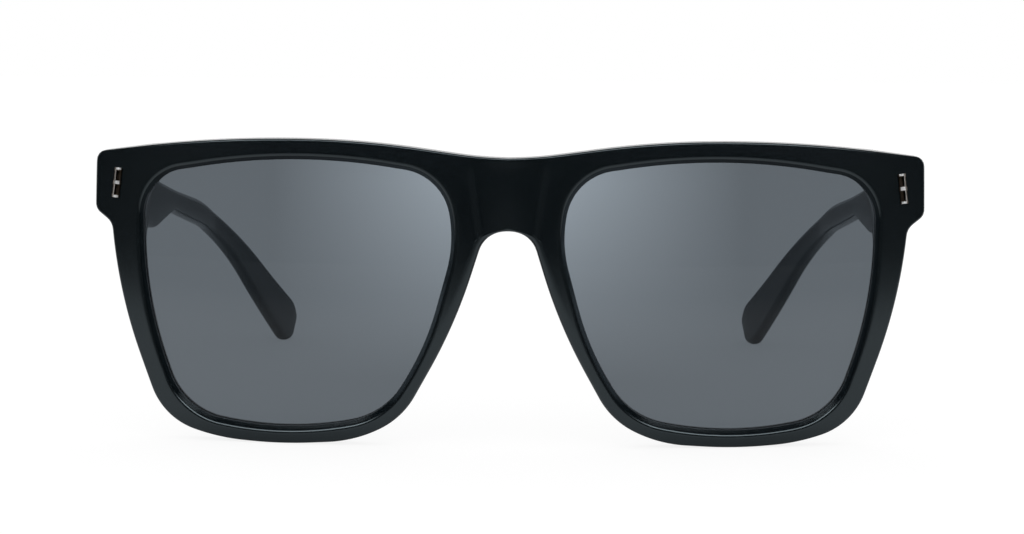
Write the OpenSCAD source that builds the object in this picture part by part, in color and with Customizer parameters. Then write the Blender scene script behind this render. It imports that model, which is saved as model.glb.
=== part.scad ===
// Full-rim acetate sunglasses with spherical lenses, five-knuckle hinges and bar rivets.
// The frame stands on the rim bottoms and the temple tips. X is the width, with the
// mirror plane at zero and the wearer's left on +X. The front faces -Y and +Z is up.

/* [Lens] */
// Boxed width of one lens
lens_width = 57.3; // [54:0.1:60]
// Boxed height of one lens
lens_height = 49.4; // [46:0.1:53]
// Least distance between the two lenses
bridge_width = 18.9; // [17:0.1:21]
// Radius of the front surface of the frame
base_radius = 132; // [120:1:180]
// Turn of each lens about the vertical, in degrees
face_form = 6; // [4:0.5:8]
// Thickness of the lens
lens_thickness = 2.0; // [1.8:0.1:2.2]

/* [Front] */
// Thickness of the rim
rim_thickness = 4.2; // [3.8:0.1:5]
// Height of the rim above the lens opening
rim_top = 3.75; // [3.2:0.05:4.6]
// Height of the rim below the lens opening
rim_bottom = 3.05; // [2.6:0.05:3.8]
// Reach of the endpiece past the lens opening
endpiece_reach = 8.9; // [8:0.1:10]
// Thickness of the endpiece at the hinge
endpiece_thickness = 5.2; // [4.6:0.1:6]
// Rounding of the outer edges
edge_round = 0.4; // [0.3:0.05:0.8]
// Width of the bevel round the lens opening
bevel_width = 1.35; // [0.8:0.05:1.6]
// Depth of the bevel at the lens
bevel_depth = 1.3; // [1.1:0.05:1.5]
// Rounding between the face and the bevel
ridge_round = 0.55; // [0.3:0.05:0.7]
// Depth of the flat cut across the bridge
cut_depth = 0.28; // [0.1:0.02:0.5]
// Depth of the lens groove
groove_depth = 0.65; // [0.5:0.05:0.8]

/* [Temple] */
// Distance from the seat of the endpiece to the end of the ear tip
temple_reach = 130.6; // [126:0.2:138]
// Distance from the seat to the start of the ear bend
bend_reach = 84; // [80:0.5:90]
// Thickness at the hinge
temple_thickness = 4.2; // [3.8:0.1:4.4]
// Thickness of the shaft and the ear tip
shaft_thickness = 2.9; // [2.6:0.1:3.4]
// Inward lean from the hinge to the ear bend
shaft_lean = 4.7; // [1:0.1:7]
// Inward turn of the ear tip past the bend
tip_lean = 9.8; // [6:0.2:14]

/* [Hinge] */
// Height of the hinge barrel
barrel_height = 8.6; // [8:0.1:9.4]
// Radius of the barrel
barrel_radius = 1.6; // [1.4:0.05:1.75]
// Radius of the hinge screw
screw_radius = 0.6; // [0.5:0.05:0.7]
// Thickness of the leaves
leaf_thickness = 1.0; // [0.8:0.05:1.1]
// Air between parts that move or are set into each other
play = 0.05; // [0.03:0.01:0.08]

/* [Rivet] */
// Length of the bar
bar_length = 5.4; // [4.5:0.1:6.5]
// Radius of the half-round bar
bar_radius = 0.7; // [0.5:0.02:0.8]
// Lean of the bar, in degrees
bar_lean = 3; // [0:0.5:8]

/* [Output] */
// The node that is drawn, or all

/* [Hidden] */
barrel_fn = 48;
surface_fn = 160;
arc_step = 3.2;
arc_turn = 16;
line_step = 5;
seam_steps = 5;

nasal_x = bridge_width / 2 + groove_depth;
temporal_x = nasal_x + lens_width - 2 * groove_depth;
eye_x = (nasal_x + temporal_x) / 2;
opening_low = rim_bottom;
opening_top = opening_low + lens_height - 2 * groove_depth;
eye_z = (opening_low + opening_top) / 2;
half_width = temporal_x + endpiece_reach;
brow_z = opening_top + rim_top;
bridge_z = brow_z - 3.3;
arch_z = opening_top - 12.4;

// The outlines run clockwise as seen from the front. Each corner is [x, z, radius].
opening_path = [
    [nasal_x + 1.5, opening_top - 2.7, 9.8],
    [eye_x - 0.4, opening_top + 1.4, 106],
    [temporal_x + 0.05, opening_top - 3.35, 8.4],
    [temporal_x - 0.6, eye_z - 2.2, 76],
    [temporal_x - 7.3, opening_low + 2.2, 12.3],
    [eye_x + 1.8, opening_low - 1.05, 64.8],
    [nasal_x + 12.1, opening_low + 2.3, 14.2],
    [nasal_x + 4.5, eye_z - 9.3, 52],
    [nasal_x - 0.55, eye_z + 9.3, 23.4]
];

// The fourth value is the place on the lens opening that faces the corner,
// as a corner number of the opening path and a fraction.
outer_path = [
    [0, bridge_z, 0, -0.2],
    [4.9, bridge_z + 0.15, 66, 0.03],
    [nasal_x + 15.9, brow_z - 0.15, 158, 0.55],
    [temporal_x - 14.1, brow_z + 0.05, 215, 1.5],
    [half_width, brow_z - 3.05, 1.8, 1.93],
    [half_width, brow_z - 13.4, 2.0, 2.1],
    [half_width - 3.2, brow_z - 15.7, 2.8, 2.28],
    [temporal_x + 4.3, eye_z - 0.6, 100, 2.93],
    [temporal_x - 3.6, opening_low + 0.7, 12.1, 4.0],
    [temporal_x - 13.8, 0.6, 38.7, 4.42],
    [eye_x + 2.8, -0.15, 88, 5.0],
    [nasal_x + 17.2, 0.7, 24.4, 5.65],
    [nasal_x + 8.6, 5.0, 15, 6.1],
    [nasal_x - 0.8, eye_z - 5.1, 94, 7.05],
    [nasal_x - 5.95, arch_z - 0.45, 4.4, 7.9],
    [0, arch_z, 0, 8.05]
];

// Rounded outlines

function unit(v) = v / norm(v);

function vertex(path, k) = let(q = path[k % len(path)]) [q.x, q.y];

function is_end(path, k, closed) = !closed && (k == 0 || k == len(path) - 1);

function half_angle(path, k) =
    let(b = vertex(path, k), a = vertex(path, k + len(path) - 1), c = vertex(path, k + 1))
    acos(unit(a - b) * unit(c - b)) / 2;

// Distance along each side that the arc of a corner asks for.
function arc_reach(path, k, closed) =
    is_end(path, k % len(path), closed) ? 0 : path[k % len(path)][2] / tan(half_angle(path, k));

// Share of its radius that a corner keeps, so that two arcs never meet on a short side.
function arc_share(path, k, closed) =
    let(
        before = norm(vertex(path, k) - vertex(path, k + len(path) - 1)),
        after = norm(vertex(path, k + 1) - vertex(path, k)),
        own = arc_reach(path, k, closed),
        room_before = 0.98 * before / (own + arc_reach(path, k + len(path) - 1, closed)),
        room_after = 0.98 * after / (own + arc_reach(path, k + 1, closed))
    )
    min(1, room_before, room_after);

// The arc at a corner: centre, radius, first and last point, half its turn in degrees,
// the direction from the centre to the corner, and its side (1 left, -1 right).
function corner(path, k, closed) =
    let(b = vertex(path, k))
    is_end(path, k, closed) ? [b, 0, b, b, 0, [0, 1], -1] :
    let(
        a = vertex(path, k + len(path) - 1),
        c = vertex(path, k + 1),
        radius = path[k % len(path)][2] * arc_share(path, k, closed),
        u = unit(a - b),
        w = unit(c - b),
        half = half_angle(path, k),
        centre = b + unit(u + w) * radius / sin(half),
        side = sign((b - a).x * (c - b).y - (b - a).y * (c - b).x)
    )
    [centre, radius, b + u * radius / tan(half), b + w * radius / tan(half), 90 - half,
        unit(b - centre), side];

function arc_length(c) = c[1] * c[4] * PI / 180;

function turned(v, angle) = [v.x * cos(angle) - v.y * sin(angle), v.x * sin(angle) + v.y * cos(angle)];

// A point at an angle from the middle of a corner, with the normal on its left.
function arc_point(c, angle) =
    let(v = turned(c[5], c[6] * angle), p = c[0] + v * c[1], n = -c[6] * v)
    [p.x, p.y, n.x, n.y];

function span_length(path, k, closed) =
    let(p = corner(path, k, closed), q = corner(path, k + 1, closed))
    arc_length(p) + norm(q[2] - p[3]) + arc_length(q);

// The point at a distance past the middle of corner k, towards corner k + 1.
function span_point(path, k, s, closed) =
    let(
        p = corner(path, k, closed),
        q = corner(path, k + 1, closed),
        first = arc_length(p),
        straight = norm(q[2] - p[3]),
        d = unit(q[2] - p[3]),
        v = p[3] + d * (s - first)
    )
    s < first ? arc_point(p, s / p[1] * 180 / PI) :
    s < first + straight ? [v.x, v.y, -d.y, d.x] :
    arc_point(q, (s - first - straight - arc_length(q)) / q[1] * 180 / PI);

function steps(length, turn) = length < 0.01 ? 0 : max(1, ceil(length / arc_step), ceil(turn / arc_turn));

// Distances along span k where a row of points is set.
function span_marks(path, k, closed) =
    let(
        p = corner(path, k, closed),
        q = corner(path, k + 1, closed),
        first = arc_length(p),
        straight = norm(q[2] - p[3]),
        last = arc_length(q),
        n1 = steps(first, p[4]),
        n2 = straight < 0.6 ? 0 : ceil(straight / line_step),
        n3 = steps(last, q[4])
    )
    concat(
        [for (i = [0 : 1 : n1 - 1]) first * i / n1],
        [for (i = [0 : 1 : n2 - 1]) first + straight * i / n2],
        [for (i = [0 : 1 : n3 - 1]) first + straight + last * i / n3]
    );

// Front surface

function smooth(t) = let(u = min(1, max(0, t))) u * u * (3 - 2 * u);

bridge_blend = 7;
sphere_x = eye_x - base_radius * sin(face_form);
sphere_y = base_radius * cos(face_form);

function blended(x) = abs(x) > bridge_blend ? abs(x) : (x * x + bridge_blend * bridge_blend) / (2 * bridge_blend);

// Y of the front surface sunk by a depth, measured towards the centre of its sphere.
function surface_y(x, z, depth) =
    sphere_y - sqrt(pow(base_radius - depth, 2) - pow(blended(x) - sphere_x, 2) - pow(z - eye_z, 2));

// Depth of the shallow flat cut across the bridge, which narrows towards the nose.
cut_slope = 1.3;
cut_fade = 4;
cut_high = [6.7, brow_z - 6.2];
cut_low = [5.05, brow_z - 17];

function bridge_cut(x, z) =
    let(f = (z - cut_low.y) / (cut_high.y - cut_low.y), edge = cut_low.x + (cut_high.x - cut_low.x) * f)
    cut_depth * smooth((edge - abs(x)) / cut_slope + 0.5) * (1 - smooth((z - cut_high.y) / cut_fade));

hinge_z = brow_z - 10.3;
seat_y = surface_y(half_width - 4, hinge_z, 0) + endpiece_thickness;
seat_stock = 0.4;

// Y of the back of the front, with stock at the endpiece for the flat hinge seat.
function back_y(x, z) =
    let(blend = smooth((abs(x) - temporal_x + 4) / 4.5) * smooth((z - brow_z + 19) / 4.5))
    (1 - blend) * surface_y(x, z, rim_thickness) + blend * (seat_y + seat_stock);

// Front

opening_corners = len(opening_path);
outer_last = len(outer_path) - 1;

function opening_point(place) =
    let(wrapped = place + opening_corners, k = floor(wrapped), f = wrapped - k)
    span_point(opening_path, k % opening_corners,
        f * span_length(opening_path, k % opening_corners, true), true);

// Rows run once round the lens. A row is the opening point, the outer point and a seam mark.
outer_rows = [
    for (k = [0 : outer_last - 1])
        for (s = span_marks(outer_path, k, false))
            let(
                f = s / span_length(outer_path, k, false),
                place = outer_path[k][3] * (1 - f) + outer_path[k + 1][3] * f
            )
            [opening_point(place), span_point(outer_path, k, s, false), k == 0 && s == 0]
];

seam_rows = [
    for (i = [0 : seam_steps - 1])
        let(
            f = i / seam_steps,
            from = outer_path[outer_last][3],
            to = outer_path[0][3] + opening_corners,
            z = arch_z + (bridge_z - arch_z) * f
        )
        [opening_point(from + (to - from) * f), [0, z, 0, i == 0 ? -1 : 0], true]
];

rows = concat(outer_rows, seam_rows);
row_count = len(rows);
seam_start = len(outer_rows);

function shifted(p, d) = [p[0] + p[2] * d, p[1] + p[3] * d];
function between(p, q, f) = p * (1 - f) + q * f;
function sunk(p, depth) = [p.x, surface_y(p.x, p.y, depth) + bridge_cut(p.x, p.y), p.y];
function backed(p, depth) = [p.x, back_y(p.x, p.y) - depth, p.y];

groove_front = bevel_depth + 0.6;
groove_back = groove_front + 1.2;
back_break = 0.4;
wall_turn = atan((bevel_depth - ridge_round) / bevel_width)
    + asin(ridge_round / norm([bevel_width, bevel_depth - ridge_round]));

// A point of the rounding between face and bevel, from a point of the opening.
function ridge(a, turn) =
    sunk(shifted(a, bevel_width - ridge_round * sin(turn)), ridge_round * (1 - cos(turn)));

// One section of the rim, from the front lip of the opening round the outside and back.
function rim_section(row) =
    let(
        a = row[0],
        b = row[1],
        front_in = shifted(a, bevel_width),
        front_out = shifted(b, -edge_round),
        near_out = shifted(b, -edge_round * 0.3),
        edge = shifted(b, 0),
        lip = shifted(a, 0),
        back_in = shifted(a, back_break),
        groove = shifted(a, groove_depth)
    )
    [
        sunk(lip, bevel_depth),
        ridge(a, wall_turn),
        ridge(a, wall_turn / 2),
        sunk(front_in, 0),
        sunk(between(front_in, front_out, 1 / 3), 0),
        sunk(between(front_in, front_out, 2 / 3), 0),
        sunk(front_out, 0),
        sunk(near_out, edge_round * 0.3),
        sunk(edge, edge_round),
        backed(edge, edge_round),
        backed(near_out, edge_round * 0.3),
        backed(front_out, 0),
        backed(between(front_out, back_in, 1 / 3), 0),
        backed(between(front_out, back_in, 2 / 3), 0),
        backed(back_in, 0),
        backed(lip, back_break),
        sunk(lip, groove_back),
        sunk(groove, groove_back),
        sunk(groove, groove_front),
        sunk(lip, groove_front)
    ];

columns = 20;
wall_first = 6;
wall_last = 11;

half_points = [for (row = rows) each rim_section(row)];
front_points = concat(half_points, [for (p = half_points) [-p.x, p.y, p.z]]);

// The seam points belong to both halves.
function front_index(half, r, c) =
    let(row = r % row_count, column = c % columns)
    (half == 1 && rows[row][2] && column >= wall_first && column <= wall_last)
        ? row * columns + column
        : half * row_count * columns + row * columns + column;

function is_inner_wall(r, c) = r >= seam_start && c >= wall_first && c < wall_last;

front_faces = [
    for (half = [0, 1])
        for (r = [0 : row_count - 1])
            for (c = [0 : columns - 1])
                if (!is_inner_wall(r, c))
                    let(
                        p = front_index(half, r, c),
                        q = front_index(half, r + 1, c),
                        s = front_index(half, r + 1, c + 1),
                        t = front_index(half, r, c + 1)
                    )
                    each (half == 0 ? [[p, q, s], [p, s, t]] : [[p, s, q], [p, t, s]])
];

opening_outline = [for (row = rows) row[0]];

// Temples

butt_gap = 0.1;
butt_y = seat_y + butt_gap;
tip_y = seat_y + temple_reach;
bend_y = seat_y + bend_reach;
butt_x = half_width - 0.4 - temple_thickness;
shaft_z = brow_z - 4;

// Side view of the temple, as [y, z, radius]. The two edges have matching corners.
upper_tip = [tip_y + 0.9, 6.9, 6.5];
lower_tip = [tip_y - 3.7, -2.1, 3.4];
tip_middle = (upper_tip + lower_tip) / 2;
upper_edge = [
    [butt_y, shaft_z, 0],
    [bend_y - 47.2, shaft_z - 7.5, 150],
    [bend_y - 32.7, shaft_z - 10.25, 150],
    [bend_y + 8.9, shaft_z - 17, 111],
    upper_tip,
    [tip_middle.x, tip_middle.y, 0]
];
lower_edge = [
    [butt_y, shaft_z - 10.5, 0],
    [bend_y - 53.6, shaft_z - 16.1, 13.6],
    [bend_y - 36.1, shaft_z - 14.1, 14],
    [bend_y + 8.7, shaft_z - 22.8, 65],
    lower_tip,
    [tip_middle.x, tip_middle.y, 0]
];
tip_corner = 4;

function inner_x(y) =
    let(t = max(0, (y - butt_y) / (bend_y - butt_y)), u = (y - bend_y) / (tip_y - bend_y))
    u < 0 ? butt_x - shaft_lean * pow(t, 1.5)
        : butt_x - shaft_lean * (1 + 1.5 * (t - 1)) - tip_lean * pow(u, 1.5);

thinned_length = 45;

function thickness_at(y) =
    temple_thickness + (shaft_thickness - temple_thickness) * smooth((y - butt_y) / thinned_length);

function lean_angle(y) = atan((inner_x(y - 0.5) - inner_x(y + 0.5)) / 1);

// A point of the temple at height p of its side view and w out from the inner face.
function temple_point(p, w) =
    let(angle = lean_angle(p.x))
    [inner_x(p.x) + w * cos(angle), p.x + w * sin(angle), p.y];

temple_edge = 1.1;
butt_rounding = 0.7;
corner_turns = [0, 45, 90];

function rounding_at(y) = butt_rounding + (temple_edge - butt_rounding) * smooth((y - butt_y) / thinned_length);

function temple_section(top, low) =
    let(
        height = norm(top - low),
        width = thickness_at((top.x + low.x) / 2),
        r = min(rounding_at((top.x + low.x) / 2), height * 0.42),
        up = (top - low) / height
    )
    [
        for (q = [0 : 3])
            for (turn = corner_turns)
                let(
                    angle = q * 90 + turn,
                    w = (q == 0 || q == 3 ? width - r : r) + r * cos(angle),
                    v = (q < 2 ? height - r : r) + r * sin(angle)
                )
                temple_point(low + up * v, w)
    ];

temple_marks = [
    for (k = [0 : tip_corner])
        for (s = span_marks(upper_edge, k, false))
            if (k < tip_corner || s <= arc_length(corner(upper_edge, k, false)))
                [k, s / span_length(upper_edge, k, false)]
];

temple_rows = [
    for (m = temple_marks)
        let(
            top = span_point(upper_edge, m[0], m[1] * span_length(upper_edge, m[0], false), false),
            low = span_point(lower_edge, m[0], m[1] * span_length(lower_edge, m[0], false), false)
        )
        temple_section([top.x, top.y], [low.x, low.y])
];

section_size = 4 * len(corner_turns);
temple_points = [for (row = temple_rows) each row];

// Faces of a skin over rows of points, with a flat cap at each end.
function skin_faces(row_total, size) = concat(
    [[for (i = [size - 1 : -1 : 0]) i]],
    [[for (i = [0 : size - 1]) (row_total - 1) * size + i]],
    [
        for (r = [0 : row_total - 2])
            for (i = [0 : size - 1])
                let(j = (i + 1) % size, p = r * size, q = (r + 1) * size)
                each [[p + i, p + j, q + j], [p + i, q + j, q + i]]
    ]
);

// The whole is centred on Y between the front of the rims and the ends of the tips.
rear_y = max([for (p = temple_points) p.y]);
front_y = sphere_y - base_radius;
centre_y = (front_y + rear_y) / 2;

// Core wire, from the butt to the start of the ear bend

wire_radius = 0.5;
wire_start = [butt_x + temple_thickness / 2, butt_y, shaft_z - 2.6];
wire_end_y = bend_y - 1;
wire_end = [inner_x(wire_end_y) + thickness_at(wire_end_y) / 2, wire_end_y, shaft_z - 18.6];
wire_run = wire_end - wire_start;
wire_length = norm(wire_run);

// Hinge

axis_x = butt_x - 2.1;
axis_y = seat_y + leaf_thickness + barrel_radius + 0.1;
knuckle_count = 5;
knuckle_pitch = barrel_height / knuckle_count;
knuckle_gap = 0.06;
barrel_low = hinge_z - barrel_height / 2;
leaf_inner_x = temporal_x + 0.4;
leaf_outer_x = butt_x - 0.5;
leaf_recess = 0.6;
leaf_length = 12;
leaf_height = 6.5;
stud_depth = 2.2;
leaf_slope = 9.5;

module place() {
    translate([0, -centre_y, 0]) children();
}

module mirrored(side) {
    if (side == "left") children();
    else mirror([1, 0, 0]) children();
}

module front_frame() {
    color("#14181a") place() difference() {
        polyhedron(points = front_points, faces = front_faces, convexity = 8);
        for (side = ["left", "right"]) mirrored(side) {
            translate([temporal_x - 3.5, seat_y, brow_z - 24]) cube([20, 6, 30]);
            leaf_stud(play);
            rivet_place() rivet_pins(play, 0.1);
        }
    }
}

module opening_solid(offset_out) {
    translate([0, 20, 0]) rotate([90, 0, 0]) linear_extrude(height = 30)
        polygon([for (p = opening_outline) shifted(p, offset_out)]);
}

module lens_shell(depth_front, depth_back) {
    translate([sphere_x, sphere_y, eye_z]) difference() {
        sphere(r = base_radius - depth_front, $fn = surface_fn);
        sphere(r = base_radius - depth_back, $fn = surface_fn);
    }
}

lens_front = bevel_depth + 0.15;

module lens(side) {
    color("#5d6368", 0.62) place() mirrored(side) union() {
        intersection() {
            opening_solid(-play);
            lens_shell(lens_front, lens_front + lens_thickness);
        }
        intersection() {
            opening_solid(groove_depth - play);
            lens_shell(groove_front + play, groove_back - play);
        }
    }
}

// Nose pads, glued to the back of the front along the nose

pad_rows = 13;
pad_width = 2.4;
pad_height = 4.2;
pad_length = 18;
pad_inset = 0.35;
pad_glue = 0.04;
pad_corner = 13;
pad_profile = [[0, 0], [-0.04, 0.45], [0.08, 0.85], [0.3, 1], [0.55, 0.92], [0.8, 0.6], [0.95, 0.25], [1, 0]];

// A point of the outer path at a distance up the nose from the corner behind the middle of the pad.
function nose_point(d) =
    d < 0 ? span_point(outer_path, pad_corner - 1, span_length(outer_path, pad_corner - 1, false) + d, false)
        : span_point(outer_path, pad_corner, d, false);

function pad_section(f) =
    let(
        swell = pow(sin(8 + 164 * f), 0.55),
        edge = nose_point(pad_length * (0.5 - f)),
        middle = pad_inset + pad_width / 2
    )
    [
        for (p = pad_profile)
            let(
                inset = middle + pad_width * swell * (p.x - 0.5),
                q = shifted(edge, -inset)
            )
            [q.x, surface_y(q.x, q.y, rim_thickness) + pad_glue + p.y * pad_height * swell, q.y]
    ];

module nose_pad(side) {
    color("#15191b") place() mirrored(side)
        polyhedron(
            points = [for (i = [0 : pad_rows - 1]) each pad_section(i / (pad_rows - 1))],
            faces = skin_faces(pad_rows, len(pad_profile))
        );
}

module along_wire() {
    translate(wire_start)
        rotate([0, acos(wire_run.z / wire_length), atan2(wire_run.y, wire_run.x)])
            children();
}

module leaf_screw_places() {
    for (reach = [5.5, 10])
        translate([butt_x - 0.4, axis_y + reach, hinge_z - 1.2 - reach * tan(leaf_slope)])
            rotate([0, 90, 0]) children();
}

module temple_leaf_plate(grow) {
    translate([leaf_outer_x + 0.1 - grow, axis_y - barrel_radius + 0.1, hinge_z - 0.7])
        rotate([-leaf_slope, 0, 0])
            translate([0, -grow, -leaf_height / 2 - grow])
                cube([leaf_thickness + 2 * grow, leaf_length + 2 * grow, leaf_height + 2 * grow]);
}

module temple(side) {
    color("#14181a") place() mirrored(side) difference() {
        polyhedron(points = temple_points, faces = skin_faces(len(temple_rows), section_size), convexity = 6);
        temple_leaf_plate(play);
        along_wire() translate([0, 0, -1]) cylinder(h = wire_length + 1.2, r = wire_radius + play, $fn = 24);
        leaf_screw_places() cylinder(h = 2.1, r = 0.45, $fn = 24);
    }
}

module core_wire(side) {
    color("#b9b8ae") place() mirrored(side)
        along_wire() translate([0, 0, 0.3]) cylinder(h = wire_length - 0.3, r = wire_radius, $fn = 24);
}

module knuckle(index) {
    translate([axis_x, axis_y, barrel_low + index * knuckle_pitch + knuckle_gap / 2])
        cylinder(h = knuckle_pitch - knuckle_gap, r = barrel_radius, $fn = barrel_fn);
}

module leaf_stud(grow) {
    translate([leaf_inner_x + 1 - grow, seat_y - stud_depth - grow, hinge_z - 2.2 - grow])
        cube([1.8 + 2 * grow, stud_depth + 1, 4.4 + 2 * grow]);
}

screw_head_radius = 1.05;
screw_head_depth = 0.6;

module screw_hole() {
    translate([axis_x, axis_y, barrel_low - 1])
        cylinder(h = barrel_height + 2, r = screw_radius + play, $fn = barrel_fn);
    translate([axis_x, axis_y, barrel_low + barrel_height - screw_head_depth])
        cylinder(h = 2, r = screw_head_radius + play, $fn = barrel_fn);
}

module front_leaf(side) {
    color("#8f9496") place() mirrored(side) difference() {
        union() {
            translate([leaf_inner_x, seat_y + 0.02, barrel_low])
                cube([leaf_outer_x - leaf_inner_x, leaf_thickness, barrel_height]);
            leaf_stud(0);
            for (index = [0, 2, 4]) {
                knuckle(index);
                translate([axis_x - barrel_radius, seat_y + leaf_thickness / 2,
                    barrel_low + index * knuckle_pitch + knuckle_gap / 2])
                    cube([2 * barrel_radius, axis_y - seat_y - leaf_thickness / 2, knuckle_pitch - knuckle_gap]);
            }
        }
        screw_hole();
    }
}

module temple_leaf(side) {
    color("#8f9496") place() mirrored(side) difference() {
        union() {
            temple_leaf_plate(0);
            for (index = [1, 3]) {
                knuckle(index);
                translate([axis_x, axis_y - barrel_radius,
                    barrel_low + index * knuckle_pitch + knuckle_gap / 2])
                    cube([leaf_outer_x + 0.4 - axis_x, 2 * barrel_radius, knuckle_pitch - knuckle_gap]);
            }
        }
        screw_hole();
        leaf_screw_places() translate([0, 0, -1]) cylinder(h = 4, r = 0.45 + play, $fn = 24);
    }
}

module hinge_screw(side) {
    color("#a9adae") place() mirrored(side) {
        translate([axis_x, axis_y, barrel_low])
            cylinder(h = barrel_height - screw_head_depth, r = screw_radius, $fn = barrel_fn);
        translate([axis_x, axis_y, barrel_low + barrel_height - screw_head_depth])
            cylinder(h = screw_head_depth, r = screw_head_radius, $fn = barrel_fn);
    }
}

module leaf_screws(side) {
    color("#a9adae") place() mirrored(side)
        leaf_screw_places() {
            translate([0, 0, -0.5]) cylinder(h = 0.45, r = 0.9, $fn = 32);
            translate([0, 0, -0.1]) cylinder(h = 2.1, r = 0.43, $fn = 24);
        }
}

// Bar rivet of the endpiece, drawn along Y with its back on the XY plane

rivet_x = half_width - 4.2;
rivet_z = brow_z - 8.55;
pin_spacing = 3.2;
pin_radius = 0.45;
pin_length = 2.2;
rivet_collar = 0.7;
rivet_cap = 0.6;
window_reach = bar_radius * 0.74;
window_length = (bar_length - rivet_collar) / 2 - rivet_cap;
window_middle = (rivet_collar + window_length) / 2;
window_floor = 0.18;

module rivet_place() {
    slope_z = asin((rivet_z - eye_z) / base_radius);
    slope_x = asin((rivet_x - sphere_x) / base_radius / cos(slope_z));
    translate([rivet_x, surface_y(rivet_x, rivet_z, 0), rivet_z])
        rotate([0, 0, slope_x]) rotate([-slope_z, 0, 0]) rotate([90, 0, 0])
            rotate([0, 0, bar_lean]) children();
}

module rivet_pins(grow, extra) {
    for (s = [-0.5, 0.5])
        translate([0, s * pin_spacing, -pin_length - extra])
            cylinder(h = pin_length + extra + 0.1, r = pin_radius + grow, $fn = 24);
}

module bar_rivet(side) {
    color("#c9ccce") place() mirrored(side) rivet_place() {
        rivet_pins(0, 0);
        difference() {
            union() {
                rotate([90, 0, 0]) cylinder(h = bar_length, r = bar_radius, center = true, $fn = 32);
                rotate([90, 0, 0]) cylinder(h = rivet_collar, r = bar_radius + 0.1, center = true, $fn = 32);
                for (s = [-1, 1])
                    translate([0, s * (bar_length - rivet_cap) / 2, 0]) rotate([90, 0, 0])
                        cylinder(h = rivet_cap, r = bar_radius + 0.06, center = true, $fn = 32);
            }
            translate([-2, -bar_length, -2]) cube([4, 2 * bar_length, 2.05]);
            for (s = [-1, 1])
                translate([-window_reach, s * window_middle - window_length / 2, window_floor])
                    cube([window_reach + 0.1, window_length, 2]);
        }
    }
}

front_frame();
lens("left");  // left_lens
lens("right");  // right_lens
nose_pad("left");  // left_nose_pad
nose_pad("right");  // right_nose_pad
front_leaf("left");  // left_front_leaf
front_leaf("right");  // right_front_leaf
bar_rivet("left");  // left_bar_rivet
bar_rivet("right");  // right_bar_rivet
hinge_screw("left");  // left_hinge_screw
hinge_screw("right");  // right_hinge_screw
temple("left");  // left_temple
temple("right");  // right_temple
temple_leaf("left");  // left_temple_leaf
temple_leaf("right");  // right_temple_leaf
core_wire("left");  // left_core_wire
core_wire("right");  // right_core_wire
leaf_screws("left");  // left_leaf_screws
leaf_screws("right");  // right_leaf_screws
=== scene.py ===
import math

import bmesh
import bpy
import numpy as np
from mathutils import Matrix, Vector


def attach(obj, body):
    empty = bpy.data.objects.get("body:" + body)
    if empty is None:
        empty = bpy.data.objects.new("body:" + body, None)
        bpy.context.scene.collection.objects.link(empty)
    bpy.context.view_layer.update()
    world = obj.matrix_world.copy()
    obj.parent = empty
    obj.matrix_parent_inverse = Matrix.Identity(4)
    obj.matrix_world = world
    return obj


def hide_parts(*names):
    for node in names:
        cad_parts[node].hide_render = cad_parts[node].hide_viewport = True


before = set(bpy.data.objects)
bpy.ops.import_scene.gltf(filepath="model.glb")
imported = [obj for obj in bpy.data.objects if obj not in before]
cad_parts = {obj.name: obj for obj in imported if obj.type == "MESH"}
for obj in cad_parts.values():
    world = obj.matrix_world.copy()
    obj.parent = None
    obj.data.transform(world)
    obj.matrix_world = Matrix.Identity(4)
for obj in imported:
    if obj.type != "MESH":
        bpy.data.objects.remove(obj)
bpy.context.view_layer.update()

# Sizes of the model, in millimetres and degrees, with the names that the part's source has.
# Next to the source, EDGE_ROUND is a little smaller and RIDGE_ROUND a little larger.
# CENTRE_Y is the middle of the model's depth, which lies at the frame's origin.

MM = 0.001
LENS_WIDTH = 57.3
LENS_HEIGHT = 49.4
BRIDGE_WIDTH = 18.9
BASE_RADIUS = 132
FACE_FORM = 6
LENS_THICKNESS = 2.0
RIM_THICKNESS = 4.2
RIM_TOP = 3.75
RIM_BOTTOM = 3.05
ENDPIECE_REACH = 8.9
ENDPIECE_THICKNESS = 5.2
EDGE_ROUND = 0.3
BEVEL_WIDTH = 1.35
BEVEL_DEPTH = 1.3
RIDGE_ROUND = 0.9
GROOVE_DEPTH = 0.65
TEMPLE_REACH = 130.6
BEND_REACH = 84
TEMPLE_THICKNESS = 4.2
SHAFT_THICKNESS = 2.9
SHAFT_LEAN = 4.7
TIP_LEAN = 9.8
THINNED_LENGTH = 45
TEMPLE_EDGE = 1.1
BUTT_ROUNDING = 0.7
BUTT_EDGE = 0.25
BUTT_GAP = 0.1
PLAY = 0.05
BRIDGE_BLEND = 7
SEAT_STOCK = 0.4
BACK_BREAK = 0.4
CENTRE_Y = 72.1083

NASAL_X = BRIDGE_WIDTH / 2 + GROOVE_DEPTH
TEMPORAL_X = NASAL_X + LENS_WIDTH - 2 * GROOVE_DEPTH
EYE_X = (NASAL_X + TEMPORAL_X) / 2
OPENING_LOW = RIM_BOTTOM
OPENING_TOP = OPENING_LOW + LENS_HEIGHT - 2 * GROOVE_DEPTH
EYE_Z = (OPENING_LOW + OPENING_TOP) / 2
HALF_WIDTH = TEMPORAL_X + ENDPIECE_REACH
BROW_Z = OPENING_TOP + RIM_TOP
HINGE_Z = BROW_Z - 10.3
BRIDGE_Z = BROW_Z - 3.3
ARCH_Z = OPENING_TOP - 12.4
ARCH_TOP = ARCH_Z - 0.05
SPHERE_X = EYE_X - BASE_RADIUS * math.sin(math.radians(FACE_FORM))
SPHERE_Y = BASE_RADIUS * math.cos(math.radians(FACE_FORM))
GROOVE_FRONT = BEVEL_DEPTH + 0.6
GROOVE_BACK = GROOVE_FRONT + 1.2
LENS_FRONT = BEVEL_DEPTH + 0.15

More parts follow.
